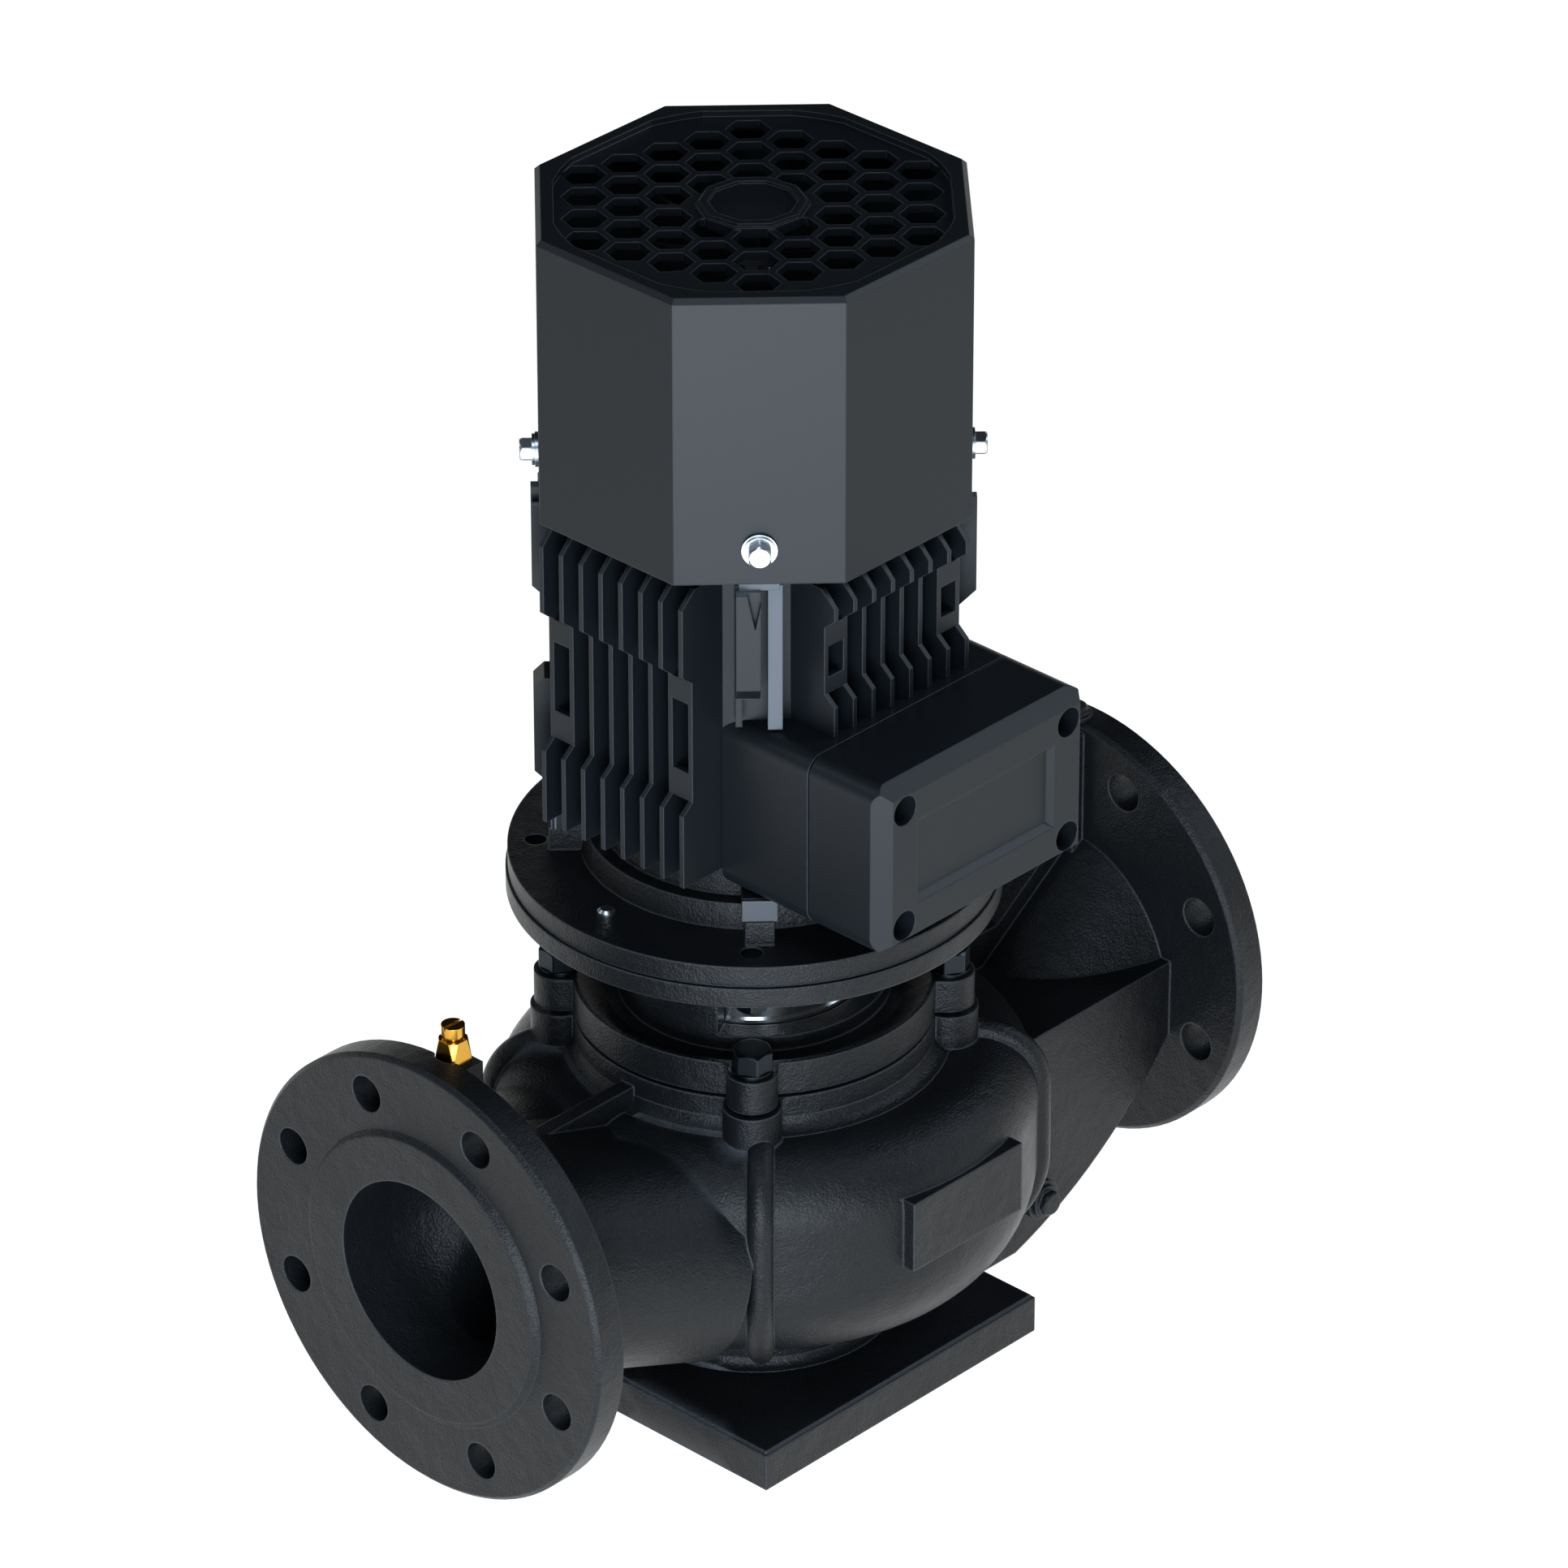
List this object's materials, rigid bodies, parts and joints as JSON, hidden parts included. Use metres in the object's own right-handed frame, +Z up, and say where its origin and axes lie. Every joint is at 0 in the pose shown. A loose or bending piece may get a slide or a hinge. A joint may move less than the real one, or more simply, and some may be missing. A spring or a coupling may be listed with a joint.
{
  "type": "vertical inline centrifugal pump",
  "caption": "Vertical inline circulation pump: volute with opposed pipe flanges, open lantern, finned motor with terminal box and an eight-sided fan cowl with a honeycomb top.",
  "frame": {"origin": "where the shaft axis meets the underside of the base plate", "axes": "+Z up along the shaft, +X along the pipe from the suction to the discharge flange, -Y towards the terminal box"},
  "size_m": [0.458, 0.2612, 0.595],
  "materials": {
    "cast_iron_black": "black paint over sand-cast iron",
    "motor_charcoal": "satin charcoal powder coat on die-cast aluminium",
    "black_steel": "black oxide steel",
    "zinc_steel": "bright zinc-plated steel",
    "stainless": "turned stainless steel",
    "ground_steel": "ground steel",
    "brass": "turned brass",
    "bronze": "cast bronze",
    "rubber_black": "matt black rubber",
    "ceramic_white": "ground ceramic",
    "core_steel": "stacked lamination steel",
    "copper": "varnished copper wire",
    "fan_plastic": "moulded black plastic",
    "board_brown": "pressed brown terminal board"
  },
  "bodies": {
    "pump": {"base_plate": "cast_iron_black", "base_screws": "zinc_steel", "casing": "cast_iron_black", "casing_gasket": "rubber_black", "wear_ring": "bronze", "drain_plug": "cast_iron_black", "gauge_plugs": "cast_iron_black", "vent_body": "brass", "lantern": "cast_iron_black", "ring_bolts": "black_steel", "ring_washers": "black_steel", "backplate": "cast_iron_black", "seal_cover": "stainless", "seal_seat": "ceramic_white", "drive_end_shield": "cast_iron_black", "disc_bolts": "black_steel", "disc_screws": "zinc_steel", "lower_bearing_outer": "ground_steel", "upper_bearing_outer": "ground_steel", "bearing_spring": "ground_steel", "motor_frame": "motor_charcoal", "frame_screws": "zinc_steel", "stator_core": "core_steel", "windings": "copper", "top_end_shield": "motor_charcoal", "fan_cowl": "motor_charcoal", "cowl_screws": "zinc_steel", "cowl_washers": "zinc_steel", "box_base": "motor_charcoal", "box_gasket": "rubber_black", "box_cover": "motor_charcoal", "cover_screws": "zinc_steel", "terminal_board": "board_brown", "terminal_studs": "brass", "entry_plug": "rubber_black"},
    "rotor": {"impeller": "bronze", "impeller_key": "ground_steel", "impeller_nut": "stainless", "shaft": "ground_steel", "seal_head": "rubber_black", "seal_spring": "stainless", "lower_bearing_inner": "ground_steel", "upper_bearing_inner": "ground_steel", "rotor_core": "core_steel", "fan": "fan_plastic", "fan_key": "ground_steel"},
    "vent": {"vent_screw": "brass"}
  },
  "joints": [
    {"name": "rotor_spin", "type": "hinge", "parent": "pump", "child": "rotor", "pos_m": [0, 0, 0], "axis": [0, 0, 1], "continuous": true},
    {"name": "vent_turn", "type": "hinge", "parent": "pump", "child": "vent", "pos_m": [-0.1955, 0, 0], "axis": [0, 0, 1], "range_deg": [0, 360]}
  ]
}
